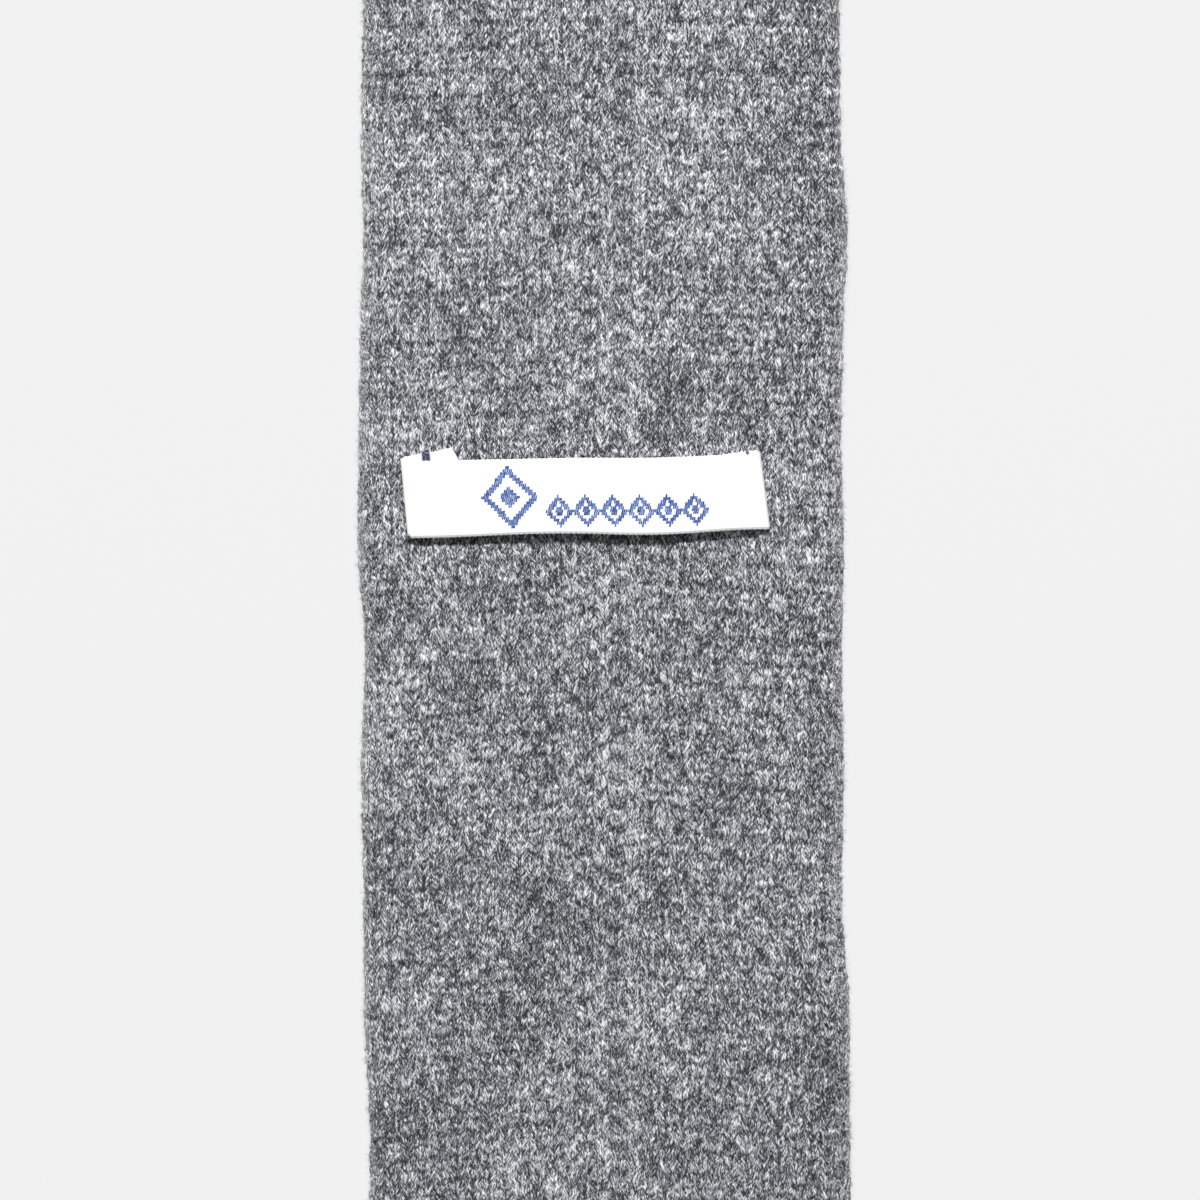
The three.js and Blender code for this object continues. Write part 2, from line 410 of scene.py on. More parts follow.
def knit_material():
    """Light and dark fibres that run along the stitches' legs, with some askew."""
    nodes = Nodes("cashmere_knit")
    column, stitch = nodes.map("Knit")

    # Which mound of yarn a place is on, and where on it in millimetres
    middle = nodes.math("FLOOR", nodes.math("ADD", column, 0.5))
    aside = nodes.math("SUBTRACT", column, middle)
    side = nodes.math("SIGN", aside)
    column_chance = nodes.node("ShaderNodeTexWhiteNoise", noise_dimensions="2D")
    nodes.feed(column_chance.inputs["Vector"], nodes.join(middle, side))
    halves = nodes.total((stitch, 2.0), (column_chance.outputs["Value"], 0.5), MOUND_PHASE)
    rank = nodes.math("FLOOR", halves)
    up = nodes.math("MULTIPLY", nodes.math("SUBTRACT", halves, rank), STITCH_HEIGHT / MM / 2)
    across = nodes.math("MULTIPLY", aside, COLUMN_WIDTH / MM)
    chance = nodes.node("ShaderNodeTexWhiteNoise", noise_dimensions="3D")
    nodes.feed(chance.inputs["Vector"], nodes.join(middle, rank, side))
    on_mound = nodes.math("MULTIPLY", chance.outputs["Value"], STROKE_RANGE)
    on_column = nodes.math("MULTIPLY", column_chance.outputs["Value"], STROKE_RANGE)
    up_column = nodes.math("MULTIPLY", stitch, STITCH_HEIGHT / MM)

    def strokes(sizes, up, start):
        """Noise drawn out along a lean, and its weight."""
        slant = nodes.math("MULTIPLY", nodes.math("MULTIPLY", side, up), sizes["lean"])
        place = nodes.join(
            nodes.math("DIVIDE", nodes.math("SUBTRACT", across, slant), sizes["wide"]),
            nodes.math("DIVIDE", up, sizes["long"]),
            start,
        )
        return nodes.centred(nodes.noise(place, detail=1.0, roughness=0.9)), sizes["weight"]

    layers = [strokes(STROKES[0], up, on_mound)]
    for number, sizes in enumerate(STROKES[1:], start=1):
        start = nodes.math("ADD", on_column, number * STROKE_APART)
        layers.append(strokes(sizes, up_column, start))
    fibres = nodes.total(*layers)

    fabric = nodes.join(nodes.math("MULTIPLY", column, COLUMN_WIDTH / MM), up_column)
    patches = []
    for sizes in PATCHES:
        patch = nodes.centred(nodes.noise(fabric, sizes["scale"], sizes["detail"]))
        patches.append((patch, sizes["weight"]))
    # The crest attribute adds painted shade in the gaps and painted light at the folds
    shade = nodes.total(fibres, (nodes.attribute("crest_and_painted_light"), CREST_PAINTED_SHADE), *patches, FIBRE_SHADE)
    nodes.surface("Base Color", nodes.ramp(shade, FIBRE_STOPS))
    nodes.surface("Normal", nodes.bump(fibres, FIBRE_BUMP))
    nodes.surface("Roughness", 0.9)
    nodes.surface("Specular IOR Level", 0.25)
    nodes.surface("Sheen Weight", 0.2)
    return nodes.material


def nap_material():
    """Loose fibres, each with a shade of its own (painted light at the folds), a little unevenly dyed.
    """
    nodes = Nodes("cashmere_nap")
    place = nodes.node("ShaderNodeTexCoord").outputs["Object"]
    dye = nodes.math("SUBTRACT", nodes.noise(place, 900.0), 0.5)
    shade = nodes.total(nodes.attribute("shade"), (dye, 0.3))
    nodes.surface("Base Color", nodes.ramp(shade, FIBRE_STOPS))
    nodes.surface("Roughness", 0.85)
    nodes.surface("Specular IOR Level", 0.3)
    return nodes.material


def ribbon_material():
    """Close white weave with fine ribs, and navy stripes near its ends."""
    nodes = Nodes("woven_ribbon")
    along, across = nodes.map("Ribbon")
    navy = nodes.attribute("navy")
    ribs = nodes.math("SINE", nodes.math("MULTIPLY", across, 2 * math.pi * MM / RIB_PITCH))
    warp = nodes.noise(nodes.join(nodes.math("MULTIPLY", along, 0.8), across), 3.5, 1.0)
    paper = nodes.ramp(warp, [(0.3, (0.865, 0.875, 0.875)), (0.7, (0.89, 0.90, 0.90))])
    threads = nodes.noise(nodes.join(along, nodes.math("MULTIPLY", across, 3.0)), 4.0, 0.0)
    dark = nodes.ramp(threads, [(0.50, (0.012, 0.014, 0.045)), (0.80, (0.25, 0.27, 0.42))])
    mixed = nodes.node("ShaderNodeMix", data_type="RGBA")
    nodes.feed(mixed.inputs["Factor"], navy)
    nodes.feed(mixed.inputs[6], paper)
    nodes.feed(mixed.inputs[7], dark)
    nodes.surface("Base Color", mixed.outputs[2])
    nodes.surface("Normal", nodes.bump(ribs, 0.01 * MM))
    nodes.surface("Roughness", 0.6)
    nodes.surface("Specular IOR Level", 0.3)
    return nodes.material


def float_material():
    """Blue floats of the woven ornament, each with a shade of its own."""
    nodes = Nodes("blue_floats")
    place = nodes.node("ShaderNodeTexCoord").outputs["Object"]
    dye = nodes.math("SUBTRACT", nodes.noise(place, 2500.0), 0.5)
    shade = nodes.total(nodes.attribute("shade"), (dye, 0.4))
    stops = [(0.0, (0.014, 0.040, 0.17)), (0.5, (0.040, 0.105, 0.38)), (1.0, (0.14, 0.26, 0.62))]
    nodes.surface("Base Color", nodes.ramp(shade, stops))
    nodes.surface("Roughness", 0.55)
    return nodes.material


def table_material():
    nodes = Nodes("pale_table")
    nodes.surface("Base Color", (TABLE_SHADE, TABLE_SHADE, TABLE_SHADE, 1.0))
    nodes.surface("Emission Color", (1.0, 1.0, 1.0, 1.0))
    nodes.surface("Emission Strength", TABLE_GLOW)
    nodes.surface("Roughness", 1.0)
    nodes.surface("Specular IOR Level", 0.0)
    return nodes.material


def new_object(name, points, triangles, material):
    """A smooth mesh object from points and triangles."""
    mesh = bpy.data.meshes.new(name)
    mesh.vertices.add(len(points))
    mesh.vertices.foreach_set("co", np.ascontiguousarray(points, dtype=np.float32).ravel())
    mesh.loops.add(3 * len(triangles))
    mesh.loops.foreach_set("vertex_index", np.ascontiguousarray(triangles, dtype=np.int32).ravel())
    mesh.polygons.add(len(triangles))
    mesh.polygons.foreach_set("loop_start", np.arange(0, 3 * len(triangles), 3, dtype=np.int32))
    mesh.polygons.foreach_set("use_smooth", np.ones(len(triangles), dtype=bool))
    mesh.update(calc_edges=True)
    mesh.materials.append(material)
    made = bpy.data.objects.new(name, mesh)
    bpy.context.scene.collection.objects.link(made)
    return made


def add_map(piece, name, corners):
    """A UV map from one place for each corner of each triangle."""
    layer = piece.data.uv_layers.new(name=name)
    layer.data.foreach_set("uv", np.ascontiguousarray(corners, dtype=np.float32).ravel())


def add_attribute(piece, name, values):
    layer = piece.data.attributes.new(name, "FLOAT", "POINT")
    layer.data.foreach_set("value", np.ascontiguousarray(values, dtype=np.float32))


def set_normals(piece, normals):
    normals = normals / np.linalg.norm(normals, axis=1, keepdims=True)
    piece.data.normals_split_custom_set_from_vertices(normals.tolist())


def grid_cells(rows, count, leaning_right):
    """Two triangles for each cell of a grid, as the rows and the columns of their corners."""
    row, column = np.meshgrid(np.arange(rows - 1), np.arange(count - 1), indexing="ij")
    row = row.ravel()[:, None]
    column = column.ravel()[:, None]
    right = leaning_right[column]
    corner_rows = [[0, 0, 1], [0, 1, 1]]
    right_columns = [[0, 1, 1], [0, 1, 0]]
    left_columns = [[0, 1, 0], [1, 1, 0]]
    cell_rows = [row + corner_rows[i] for i in (0, 1)]
    cell_columns = [column + np.where(right, right_columns[i], left_columns[i]) for i in (0, 1)]
    return np.concatenate(cell_rows), np.concatenate(cell_columns)


def is_whole(triangles):
    """Which triangles have three different corners."""
    a, b, c = triangles.T
    return (a != b) & (b != c) & (a != c)


def point_normals(points, triangles):
    """Area-weighted normals of a mesh's points."""
    a, b, c = (points[triangles[:, corner]] for corner in range(3))
    facing = np.cross(b - a, c - a)
    normals = np.zeros_like(points)
    for corner in range(3):
        for axis in range(3):
            normals[:, axis] += np.bincount(
                triangles[:, corner], weights=facing[:, axis], minlength=len(points)
            )
    return normals / np.maximum(np.linalg.norm(normals, axis=1, keepdims=True), 1e-20)


mound_pairs = max(len(knot["mounds"]) for knot in KNOTS.values())
chance_shape = (2 * FRONT_COLUMN, STITCHES_ALONG + 2, 2 * mound_pairs + 1, 4)
chances = np.random.default_rng(SEED_KNIT).random(chance_shape) - 0.5


def arched(stitch, column):
    """A row's number at a column, counted at the join."""
    fall = ARCH_LOW + (ARCH_HIGH - ARCH_LOW) * smooth((stitch - ARCH_START) / (ARCH_END - ARCH_START))
    return stitch + fall * np.abs(column)


def mound(across, up, half_wide, half_long, lean):
    """The height of a rounded mound, 1 at its middle, that leans to the right of upright."""
    along = (across * np.sin(lean) + up * np.cos(lean)) / half_long
    beside = (across * np.cos(lean) - up * np.sin(lean)) / half_wide
    return np.maximum(1.0 - beside**2 - np.abs(along) ** MOUND_BLUNTNESS, 0.0) ** MOUND_DOME


def knot_height(knot, own, column, row):
    """How high the knots of some columns stand over places near them, and how deep their gaps are."""
    stitches = knot["stitches"]
    shifted = row - own % 2 * (stitches - 1)
    nearest = np.floor(shifted / stitches + 0.5).astype(int)
    across = (column - own) * COLUMN_WIDTH / MM
    height = np.full_like(column, BED)
    depth = np.zeros_like(column)
    for number in (nearest - 1, nearest, nearest + 1):
        chance = chances[own % (2 * FRONT_COLUMN), number % (STITCHES_ALONG + 2)]
        up = (shifted - number * stitches) * STITCH_HEIGHT / MM - KNOT_UP * chance[..., -1, 0]
        for pair, sizes in enumerate(knot["mounds"]):
            for half, side in enumerate((-1, 1)):
                aside, higher, turn, rise = np.moveaxis(chance[..., 2 * pair + half, :], -1, 0)
                here = mound(
                    across - side * sizes["aside"] - MOUND_ASIDE * aside,
                    up - sizes["up"] - MOUND_UP * higher,
                    sizes["half_wide"],
                    sizes["half_long"],
                    np.radians(side * sizes["lean"] + MOUND_LEAN * turn),
                )
                height = np.maximum(height, here * sizes["high"] * (1.0 + MOUND_HIGH * rise))
        for sizes in knot["gaps"]:
            beside = (np.abs(across) - sizes["aside"]) / sizes["half_wide"]
            along = (up - sizes["up"]) / sizes["half_long"]
            inside = np.maximum(1.0 - beside**2 - along**2, 0.0)
            depth = np.maximum(depth, sizes["deep"] * inside)
    return height, depth


def knit_height(column, row):
    """How high the knit stands between its gaps (0) and its crests (about 1)."""
    height = np.zeros_like(column)
    depth = np.zeros_like(column)
    nearest = np.floor(column + 0.5).astype(int)
    for own in (nearest - 1, nearest, nearest + 1):
        place = np.minimum(np.abs(own), len(KNOT_OF_COLUMN) - 1)
        for kind, knot in KNOTS.items():
            mine = np.array([each == kind for each in KNOT_OF_COLUMN])[place]
            high, deep = knot_height(knot, own[mine], column[mine], row[mine])
            height[mine] = np.maximum(height[mine], high)
            depth[mine] = np.maximum(depth[mine], deep)
    on_yarn = smooth((height - BED) / YARN_ABOVE_BED)
    furrow = FURROW * (0.5 + 0.5 * np.cos(2 * math.pi * column))
    return np.maximum(height - depth * (1.0 - GAP_IN_YARN * on_yarn) - furrow, 0.0)


def swells(column, stitch):
    """Slow swells of the hand-soft fabric, from -1 to 1."""
    wide = np.sin(0.21 * stitch + 0.9 * np.sin(0.13 * column)) * np.sin(0.33 * column + 0.05 * stitch)
    return 0.6 * wide + 0.4 * np.sin(0.57 * stitch + 0.41 * column)


class TubeRows:
    """The flattened tube's section at some rows of its knit, with columns round it."""

    def __init__(self, stitches, columns):
        self.stitches = stitches[:, None]
        self.columns = columns
        # At the linked tip the skin swings round from facing down the tie to facing up or down
        share = np.clip((self.stitches - TIP_FIRST) / (TIP_ROUND - TIP_FIRST), 0.0, 1.0)
        self.swing = share * math.pi / 2
        rounded = TIP_ROUND * (1.0 - np.cos(self.swing))
        self.along = np.where(share < 1.0, rounded, self.stitches) * STITCH_HEIGHT
        left, right = edges_at(self.along)
        self.middle = (left + right) / 2
        self.half_flat = (right - left) / 2 - FOLD_RADIUS
        self.half_round = 2 * self.half_flat + math.pi * FOLD_RADIUS
        straight_round = width_at(self.along) - 2 * FOLD_RADIUS + math.pi * FOLD_RADIUS
        column_width = COLUMN_WIDTH * self.half_round / straight_round

        # The join's columns are counted from the join, the rest from the middle of the front. Those
        # that would lie past the join's band are drawn in to its edge.
        away = np.abs(columns)
        self.first_side = FRONT_COLUMN + JOIN_HALF - straight_round / COLUMN_WIDTH
        in_join = away <= JOIN_HALF
        self.gone = ~in_join & (away <= self.first_side)
        from_front = self.half_round - (FRONT_COLUMN - away) * column_width
        reach = np.where(in_join, away * column_width, from_front)
        reach = np.where(self.gone, JOIN_HALF * column_width, reach)
        self.distance = np.sign(columns) * reach + sway_at(self.along, JOIN_SWAY)

    def surface(self, inset):
        """Points so far inside the smooth skin, and the way out of the tube there."""
        away = np.abs(self.distance)
        side = np.sign(self.distance)
        angle = np.clip((away - self.half_flat) / FOLD_RADIUS, 0.0, math.pi)
        past = np.maximum(away - self.half_flat - math.pi * FOLD_RADIUS, 0.0)
        radius = FOLD_RADIUS - inset
        fullness = np.sin(self.swing)
        bulge = radius * np.sin(angle) * (1.0 - TIP_TUCK * (1.0 - fullness))
        x = side * (np.minimum(away, self.half_flat) + bulge - past)
        z = radius * np.cos(angle) * fullness
        y = np.broadcast_to(self.along, x.shape)
        points = np.stack([STRAIGHT_X + self.middle + x, TIP_Y + y, TIE_HEIGHT / 2 + z], axis=-1)
        down_the_tie = np.broadcast_to(-np.cos(self.swing), x.shape)
        ways = [side * np.sin(angle) * fullness, down_the_tie, np.cos(angle) * fullness]
        return points, np.stack(ways, axis=-1)

    def knitted(self):
        """Points of the knit's outer skin, and the painted shade and light of each: painted shade in the
        gaps, lightest on crests, and painted light at the folds, where short fibres stand out backlit."""
        points, ways = self.surface(0.0)
        columns = np.broadcast_to(self.columns, self.distance.shape)
        stitches = np.broadcast_to(self.stitches, self.distance.shape)
        settled = np.sin(self.swing)
        height = knit_height(columns, arched(stitches, columns))
        crest_and_painted_light = TIP_CREST + (height - TIP_CREST) * settled
        underside = smooth(-2.0 * ways[..., 2])
        swell = UNEVENNESS * (swells(columns, stitches) - underside) * settled
        from_end = np.clip((stitches - STITCHES_ALONG) / TAIL_ROUND + 1.0, 0.0, 1.0)
        drawn_in = TAIL_ROUNDING * (1.0 - np.sqrt(1.0 - from_end**2))
        full = FOLD_FULLNESS * np.abs(ways[..., 0])
        rise = swell + full - RELIEF * (1.0 - crest_and_painted_light) - drawn_in
        points = points + ways * rise[..., None]
        points[..., 2] = np.maximum(points[..., 2], 0.0)
        # The folds get painted light on top of the crest's painted shade
        return points, crest_and_painted_light + RIM_LIGHT * ways[..., 0] ** 4


def ring_columns(fine, tip):
    """The columns that the tube is shaped at, closest together on the back of a fine piece, and alike
    on the back and the front of the tip's piece, where they meet."""
    steps = 2 * FRONT_COLUMN * FINE_STEPS
    columns = np.linspace(-FRONT_COLUMN, FRONT_COLUMN, steps + 1)
    on_back = np.abs(columns) < FOLD_COLUMN + 0.5
    coarse = np.arange(steps + 1) % (FINE_STEPS // COARSE_STEPS) == 0
    coarsest = np.arange(steps + 1) % (FINE_STEPS // FRONT_STEPS) == 0
    return columns[coarsest | (tip & coarse) | (on_back & (coarse | fine))]


def point_places(columns, gone, closed):
    """Which point of its row each column uses. Columns drawn in to the join share the point at its
    edge, the last column is the first again, and the points of a closed tip's first row are shared
    with the columns right below them."""
    places = np.tile(np.arange(len(columns)), (len(gone), 1))
    for side in (-1, 1):
        edge = int(np.argmin(np.abs(columns - side * JOIN_HALF)))
        places[gone & (columns * side > 0)] = edge
    places[:, -1] = 0
    if closed:
        opposite = np.sign(columns) * (FRONT_COLUMN - np.abs(columns))
        under = np.flatnonzero(np.abs(columns) > FOLD_COLUMN)
        places[0, under] = [int(np.argmin(np.abs(columns - opposite[i]))) for i in under]
    return places


def meet_row(points, columns, others):
    """Moves the points that the next piece's row lacks onto its straight lines."""
    extra = np.flatnonzero(~np.isin(columns, others))
    points[extra] = (points[extra - 1] + points[extra + 1]) / 2


def knit_piece(name, first, last, fine, material):
    """One length of the tube as a closed ring of knit: its outer skin from one end to the other, the
    rim there, the hollow's wall back to the first end, and the rim there."""
    tip = first < 0
    per_stitch = FINE_ROWS if fine else COARSE_ROWS
    columns = ring_columns(fine, tip)
    count = len(columns)
    skin_rows = round((last - first) * per_stitch) + 1
    leaning_right = np.floor(columns[:-1] * 2 + 1e-6) % 2 == 0

    # The skin, with one more row past each cut so that the light runs on smoothly there
    before = 0 if tip else 1
    after = 0 if last >= STITCHES_ALONG else 1
    stitches = first + (np.arange(skin_rows + before + after) - before) / per_stitch
    skin = TubeRows(stitches, columns)
    skin_points, skin_painted_shade_and_light = skin.knitted()
    if first == PHOTO_START:
        meet_row(skin_points[before], columns, ring_columns(False, True))
    if last == PHOTO_START:
        meet_row(skin_points[before + skin_rows - 1], columns, ring_columns(True, False))
    if last == PHOTO_END:
        meet_row(skin_points[before + skin_rows - 1], columns, ring_columns(False, False))
    skin_places = point_places(columns, skin.gone, tip)
    numbers = skin_places + count * np.arange(len(stitches))[:, None]
    triangles = numbers[grid_cells(len(stitches), count, leaning_right)]
    skin_normals = point_normals(skin_points.reshape(-1, 3), triangles[is_whole(triangles)])
    skin_normals = skin_normals.reshape(skin_points.shape)

    # The hollow, closed where the tip is
    hollow_stitches = np.linspace(1.0 if tip else first, last, HOLLOW_ROWS)
    hollow = TubeRows(hollow_stitches, columns)
    hollow_points, ways = hollow.surface(KNIT_WALL)
    if tip:
        hollow_points[0, :, 2] = TIE_HEIGHT / 2
    hollow_places = point_places(columns, hollow.gone, tip)
    # The hollow's wall gets the painted shade of the bed
    hollow_painted_shade = np.full(hollow_places.shape, BED)

    # All rows in one round: up the skin, down the hollow, and back to the skin's first row
    def in_one_round(of_skin, of_hollow):
        return np.concatenate([of_skin[before : before + skin_rows], of_hollow[::-1]])

    points = in_one_round(skin_points, hollow_points)
    normals = in_one_round(skin_normals, -ways)
    crest_and_painted_light = in_one_round(skin_painted_shade_and_light, hollow_painted_shade)
    places = in_one_round(skin_places, hollow_places)
    round_share = in_one_round(skin.distance / skin.half_round, hollow.distance / hollow.half_round)
    row_stitch = in_one_round(stitches, hollow_stitches)
    first_side = in_one_round(skin.first_side, hollow.first_side)[:, 0]
    if tip:
        normals[0] = (0.0, -1.0, 0.0)
    if last >= STITCHES_ALONG:
        normals[skin_rows - 1 : skin_rows + 1] += (0.0, 1.0, 0.0)
    row_of = np.arange(len(row_stitch))
    if not tip:
        row_of = np.append(row_of, 0)
    numbers = (places + count * np.arange(len(places))[:, None])[row_of]
    cell_rows, cell_columns = grid_cells(len(row_of), count, leaning_right)
    triangles = numbers[cell_rows, cell_columns]
    whole = is_whole(triangles)
    triangles, cell_rows, cell_columns = triangles[whole], cell_rows[whole], cell_columns[whole]

    # The pattern's map, in columns and stitches, and one for baking, with the hollow and the rims in
    # a strip beside the skin
    at_rows = row_of[cell_rows]
    corner_columns = columns[cell_columns]
    in_join = np.abs(corner_columns).max(axis=1, keepdims=True) <= JOIN_HALF
    outer = np.sign(corner_columns) * np.maximum(np.abs(corner_columns), first_side[at_rows])
    corner_columns = np.where(in_join, corner_columns, outer)
    pattern = np.stack([corner_columns, arched(row_stitch[at_rows], corner_columns)], axis=-1)
    on_skin = cell_rows.max(axis=1, keepdims=True) < skin_rows
    up = np.clip((row_stitch[at_rows] - first) / (last - first), 0.0, 1.0)
    on_rim = np.where(up > 0.5, BAKE_RIMS[1], BAKE_RIMS[0])
    strip_up = np.where(at_rows < skin_rows, on_rim, BAKE_STRIP["low"] + BAKE_STRIP["tall"] * up)
    share = 0.5 + 0.5 * round_share[at_rows, cell_columns]
    skin_across = BAKE_SKIN["left"] + BAKE_SKIN["wide"] * share
    strip_across = BAKE_STRIP["left"] + BAKE_STRIP["wide"] * share
    bake_across = np.where(on_skin, skin_across, strip_across)
    bake_up = np.where(on_skin, BAKE_SKIN["low"] + BAKE_SKIN["tall"] * up, strip_up)

    used, renumbered = np.unique(triangles, return_inverse=True)
    piece = new_object(name, points.reshape(-1, 3)[used], renumbered.reshape(-1, 3), material)
    add_map(piece, "Knit", pattern)
    add_map(piece, "OFBake", np.stack([bake_across, bake_up], axis=-1))
    # Painted shade in the gaps and painted light at the folds, for the knit's material
    add_attribute(piece, "crest_and_painted_light", crest_and_painted_light.ravel()[used])
    set_normals(piece, normals.reshape(-1, 3)[used])
    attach(piece, "root")
    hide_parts("knit_tube")
    return piece, 2 * float(skin.half_round.mean()), (last - max(first, 0.0)) * STITCH_HEIGHT


def ribbon_line():
    """The ribbon's middle line as seen from the tip, from the right flap's raw end over the bowed
    strap to the left flap's raw end: across, height, the way its outer face turns, how far it slips
    up the tie, how dark its stripe is, and how much its cut slants."""
    fold_radius = (RIBBON_WALL + RIBBON_SLOT) / 2
    half = KEEPER_LENGTH / 2 - fold_radius - RIBBON_WALL / 2
    flap_height = TIE_HEIGHT + 0.05 * MM + RIBBON_WALL / 2
    strap_height = flap_height + 2 * fold_radius
    lines = {}
    for side, slips in FLAP_SLIPS.items():
        line = []
        stripe_start, stripe_end = NAVY_STRIPES[side]
        for step in range(RIBBON_STATIONS["flap"]):
            share = step / RIBBON_STATIONS["flap"]
            from_fold = FLAP_LENGTH * (1 - share)
            slip = FLAP_PEEK * (slips["end"] + (slips["fold"] - slips["end"]) * share)
            navy = float(stripe_start <= from_fold <= stripe_end)
            slant = FLAP_SLANT * smooth(1 - 2 * share)
            line.append((half - from_fold, flap_height, -math.pi / 2, slip, navy, slant))
        for step in range(RIBBON_STATIONS["fold"] + 1):
            share = step / RIBBON_STATIONS["fold"]
            turn = math.pi * (share - 0.5)
            x = half + fold_radius * math.cos(turn)
            z = flap_height + fold_radius * (1 + math.sin(turn))
            line.append((x, z, turn, FLAP_PEEK * slips["fold"] * (1 - share), 0.0, 0.0))
        lines[side] = line
    strap = []
    for step in range(1, RIBBON_STATIONS["strap"]):
        share = step / RIBBON_STATIONS["strap"]
        z = strap_height + KEEPER_BOW * math.sin(math.pi * share)
        strap.append((half * (1 - 2 * share), z, math.pi / 2, 0.0, 0.0, 0.0))
    left = [(-x, z, math.pi - turn, *rest[:-1], -rest[-1]) for x, z, turn, *rest in lines["left"][::-1]]
    return np.array([*lines["right"], *strap, *left])


def keeper_bend(x):
    """How far up the tie the keeper bends from a straight line at places along it."""
    away = np.clip((x - KEEPER_DIP_PLACE) / KEEPER_DIP_REACH, -1.0, 1.0)
    dip = KEEPER_DIP * np.cos(away * math.pi / 2) ** 2
    lift = KEEPER_LIFT * smooth((x - KEEPER_LIFT_START) / (KEEPER_LENGTH / 2 - KEEPER_LIFT_START))
    return lift - dip


def keeper_place(x, y, z):
    """Points of the keeper's own frame, leaned, turned and moved to where it lies on the tie."""
    cos, sin = math.cos(KEEPER_TURN), math.sin(KEEPER_TURN)
    share = x / KEEPER_LENGTH + 0.5
    x = x - (KEEPER_LEANS["left"] * (1 - share) + KEEPER_LEANS["right"] * share) * y
    across = STRAIGHT_X + KEEPER_ASIDE + cos * x - sin * y
    return np.stack([across, TIP_Y + KEEPER_ABOVE + sin * x + cos * y, z], axis=-1)


def make_ribbon(material):
    """The ribbon as one closed band: its outer face up its width and its inner face back."""
    x, z, turn, slip, navy, slant = ribbon_line().T[..., None]
    run = np.concatenate([[0.0], np.cumsum(np.hypot(np.diff(x[:, 0]), np.diff(z[:, 0])))])
    half = KEEPER_WIDTH / 2
    up = np.linspace(LOWER_ROLL - half, half - SELVEDGE_WIDTH, RIBBON_LINES)
    up = np.concatenate([[-half], up, [half]])
    lines = len(up)
    across = np.concatenate([up, up[::-1]])
    face = np.repeat([1.0, -1.0], lines)
    scallop = SELVEDGE_DEPTH * np.sin(2 * math.pi * run / SELVEDGE_PITCH)[:, None]
    loops = NAVY_LOOP * navy * (across == half)
    y = slip + across + scallop * across / half + loops + keeper_bend(x)
    out = face * RIBBON_WALL / 2
    on_strap = np.sin(turn) > 0.999
    wave = KEEPER_WAVE * np.cos(2 * math.pi * (x - KEEPER_WAVE_PLACE) / KEEPER_WAVE_LENGTH)
    y = y + on_strap * wave * (across / half - 1.0) / 2
    drop = on_strap * LOWER_DROP * (across == -half)
    points = keeper_place(x + np.cos(turn) * out + slant * (y - half), y, z + np.sin(turn) * out - drop)
    edge = np.where(np.abs(across) > half - SELVEDGE_WIDTH / 2, np.sign(across), 0.0)
    edge = np.broadcast_to(edge, y.shape)
    normals = np.stack([np.cos(turn) * face, edge, np.sin(turn) * face], axis=-1)

    count = 2 * lines + 1
    cell_rows, cell_columns = grid_cells(len(run), count, np.ones(count - 1, dtype=bool))
    numbers = np.arange(points[..., 0].size).reshape(len(run), count - 1)
    numbers = np.concatenate([numbers, numbers[:, :1]], axis=1)
    triangles = numbers[cell_rows, cell_columns]
    line_share = cell_columns / (count - 1)
    bake = np.stack([0.005 + 0.99 * line_share, 0.01 + 0.95 * run[cell_rows] / run[-1]], axis=-1)
    pattern = np.stack([run[cell_rows], across[cell_columns % (count - 1)]], axis=-1) / MM

    # The raw ends are closed straight across the ribbon's wall
    ends = []
    for row, step in ((0, -1), (len(run) - 1, 1)):
        for i in range(lines - 1):
            outer, outer_next = numbers[row, i], numbers[row, i + 1]
            inner, inner_next = numbers[row, 2 * lines - 1 - i], numbers[row, 2 * lines - 2 - i]
            ends += [[outer, outer_next, inner_next][::step], [outer, inner_next, inner][::step]]
    ends = np.array(ends)
    end_share = np.linspace(0.01, 0.99, ends.size).reshape(ends.shape)
    bake = np.concatenate([bake, np.stack([end_share, np.full(ends.shape, 0.985)], axis=-1)])
    pattern = np.concatenate([pattern, np.zeros((*ends.shape, 2))])

    triangles = np.concatenate([triangles, ends])
    piece = new_object("ribbon", points.reshape(-1, 3), triangles, material)
    add_map(piece, "Ribbon", pattern)
    add_map(piece, "OFBake", bake)
    add_attribute(piece, "navy", np.repeat(navy, count - 1))
    set_normals(piece, normals.reshape(-1, 3))
    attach(piece, "root")
    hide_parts("ribbon_keeper")
    return piece, float(run[-1])


# The ornament woven into the ribbon, as floats of blue thread: one large lozenge and a row of small
# ones. Millimetres from the strap's middle.
LOZENGES = {
    "large": {"x": -11.6, "y": 0.0, "half_wide": 4.4, "half_high": 4.9, "line": 0.27},
    "small": {"x": -4.2, "y": -2.4, "half_wide": 2.3, "half_high": 2.5, "line": 0.40},
}
SMALL_LOZENGES = 6
SMALL_STEP = 4.2
LOZENGE_HEART = 0.36
FLOAT_PITCH = (0.30, 0.46)
FLOAT_SIZE = (0.27, 0.47, 0.07)
FLOAT_SLANT = 0.22


def in_ornament(x, y):
    """Whether a float belongs at a place of the strap."""
    small = LOZENGES["small"]
    lozenges = [LOZENGES["large"]]
    lozenges += [{**small, "x": small["x"] + number * SMALL_STEP} for number in range(SMALL_LOZENGES)]
    for lozenge in lozenges:
        aside = abs(x - lozenge["x"]) / lozenge["half_wide"]
        reach = aside + abs(y - lozenge["y"]) / lozenge["half_high"]
        if reach < LOZENGE_HEART or 1.0 - lozenge["line"] < reach < 1.0:
            return True
    return False


